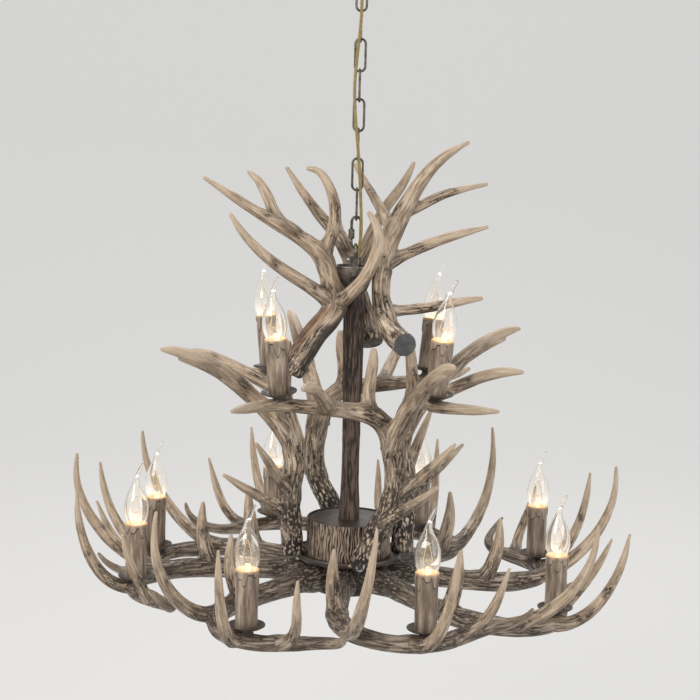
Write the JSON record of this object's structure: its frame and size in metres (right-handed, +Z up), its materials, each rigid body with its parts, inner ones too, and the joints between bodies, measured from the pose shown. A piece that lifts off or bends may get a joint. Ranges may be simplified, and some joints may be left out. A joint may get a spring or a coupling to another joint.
{
  "type": "antler chandelier",
  "caption": "Two-tier chandelier of cast antlers around a bark column, with candle lights on drip plates, hung by a chain and cord from a round ceiling canopy.",
  "frame": {"origin": "middle of the ceiling bracket's top face, between its two screw holes", "axes": "+Z up towards the ceiling, -Y to the front, +X to the right"},
  "size_m": [0.804, 0.8021, 0.9472],
  "materials": {
    "antler_resin": "hand-stained cast resin",
    "bark_resin": "ridged like bark, stained brown",
    "taupe_metal": "satin taupe paint",
    "bronze_metal": "dark bronze lacquer",
    "zinc_steel": "zinc plated",
    "candle_plastic": "imitation wax",
    "holder_plastic": "plain",
    "cap_brass": "polished",
    "filament_glass": "glowing",
    "bulb_glass": "clear",
    "cord_sheath": "translucent gold"
  },
  "bodies": {
    "ceiling": {"ceiling_bracket": "zinc_steel", "canopy": "taupe_metal", "canopy_stem": "zinc_steel", "stem_nut": "zinc_steel", "canopy_loop": "bronze_metal", "cord_0": "cord_sheath"},
    "link_1": {"chain_link_1": "bronze_metal", "cord_1": "cord_sheath"},
    "link_2": {"chain_link_2": "bronze_metal", "cord_2": "cord_sheath"},
    "link_3": {"chain_link_3": "bronze_metal", "cord_3": "cord_sheath"},
    "link_4": {"chain_link_4": "bronze_metal", "cord_4": "cord_sheath"},
    "link_5": {"chain_link_5": "bronze_metal", "cord_5": "cord_sheath"},
    "link_6": {"chain_link_6": "bronze_metal", "cord_6": "cord_sheath"},
    "link_7": {"chain_link_7": "bronze_metal", "cord_7": "cord_sheath"},
    "link_8": {"chain_link_8": "bronze_metal", "cord_8": "cord_sheath"},
    "quick_link": {"quick_link": "bronze_metal", "cord_9": "cord_sheath"},
    "quick_link_sleeve": {"quick_link_sleeve": "bronze_metal"},
    "fixture": {"antler_screws": "zinc_steel", "base_plate": "taupe_metal", "bulb_caps": "cap_brass", "bulb_glasses": "bulb_glass", "bulb_mounts": "filament_glass", "candle_necks": "taupe_metal", "candle_sleeves": "candle_plastic", "column_cup": "taupe_metal", "column_loop": "bronze_metal", "column_tube": "bark_resin", "cord_10": "cord_sheath", "crown_antler_back": "antler_resin", "crown_antler_left": "antler_resin", "crown_antler_right": "antler_resin", "drip_plates": "taupe_metal", "drum_lid": "taupe_metal", "drum_shell": "bark_resin", "finial_nut": "taupe_metal", "hub_block": "taupe_metal", "hub_dish": "taupe_metal", "lamp_holders": "holder_plastic", "loop_set_screw": "zinc_steel", "lower_antler_1": "antler_resin", "lower_antler_2": "antler_resin", "lower_antler_3": "antler_resin", "lower_antler_4": "antler_resin", "lower_antler_5": "antler_resin", "lower_antler_6": "antler_resin", "lower_antler_7": "antler_resin", "lower_antler_8": "antler_resin", "tie_rod": "zinc_steel", "upper_antler_1": "antler_resin", "upper_antler_2": "antler_resin", "upper_antler_3": "antler_resin", "upper_antler_4": "antler_resin"}
  },
  "joints": [
    {"name": "link_1_swing", "type": "hinge", "parent": "ceiling", "child": "link_1", "pos_m": [0, 0, -0.0515], "axis": [0, 1, 0], "range_deg": [-6, 6], "deforming": ["cord_1"]},
    {"name": "link_2_swing", "type": "hinge", "parent": "link_1", "child": "link_2", "pos_m": [0, 0, -0.0926], "axis": [1, 0, 0], "range_deg": [-6, 6], "deforming": ["cord_2"]},
    {"name": "link_3_swing", "type": "hinge", "parent": "link_2", "child": "link_3", "pos_m": [0, 0, -0.1345], "axis": [0, 1, 0], "range_deg": [-6, 6], "deforming": ["cord_3"]},
    {"name": "link_4_swing", "type": "hinge", "parent": "link_3", "child": "link_4", "pos_m": [0, 0, -0.1764], "axis": [1, 0, 0], "range_deg": [-6, 6], "deforming": ["cord_4"]},
    {"name": "link_5_swing", "type": "hinge", "parent": "link_4", "child": "link_5", "pos_m": [0, 0, -0.2183], "axis": [0, 1, 0], "range_deg": [-6, 6], "deforming": ["cord_5"]},
    {"name": "link_6_swing", "type": "hinge", "parent": "link_5", "child": "link_6", "pos_m": [0, 0, -0.2602], "axis": [1, 0, 0], "range_deg": [-6, 6], "deforming": ["cord_6"]},
    {"name": "link_7_swing", "type": "hinge", "parent": "link_6", "child": "link_7", "pos_m": [0, 0, -0.3021], "axis": [0, 1, 0], "range_deg": [-6, 6], "deforming": ["cord_7"]},
    {"name": "link_8_swing", "type": "hinge", "parent": "link_7", "child": "link_8", "pos_m": [0, 0, -0.344], "axis": [1, 0, 0], "range_deg": [-6, 6], "deforming": ["cord_8"]},
    {"name": "quick_link_swing", "type": "hinge", "parent": "link_8", "child": "quick_link", "pos_m": [0, 0, -0.3859], "axis": [0, 1, 0], "range_deg": [-6, 6], "deforming": ["cord_9"]},
    {"name": "sleeve_slide", "type": "slide", "parent": "quick_link", "child": "quick_link_sleeve", "axis": [0, 0, 1], "range_m": [0, 0.008]},
    {"name": "fixture_swing", "type": "hinge", "parent": "quick_link", "child": "fixture", "pos_m": [0, 0, -0.4259], "axis": [1, 0, 0], "range_deg": [-6, 6], "deforming": ["cord_10", "cord_0"]}
  ]
}
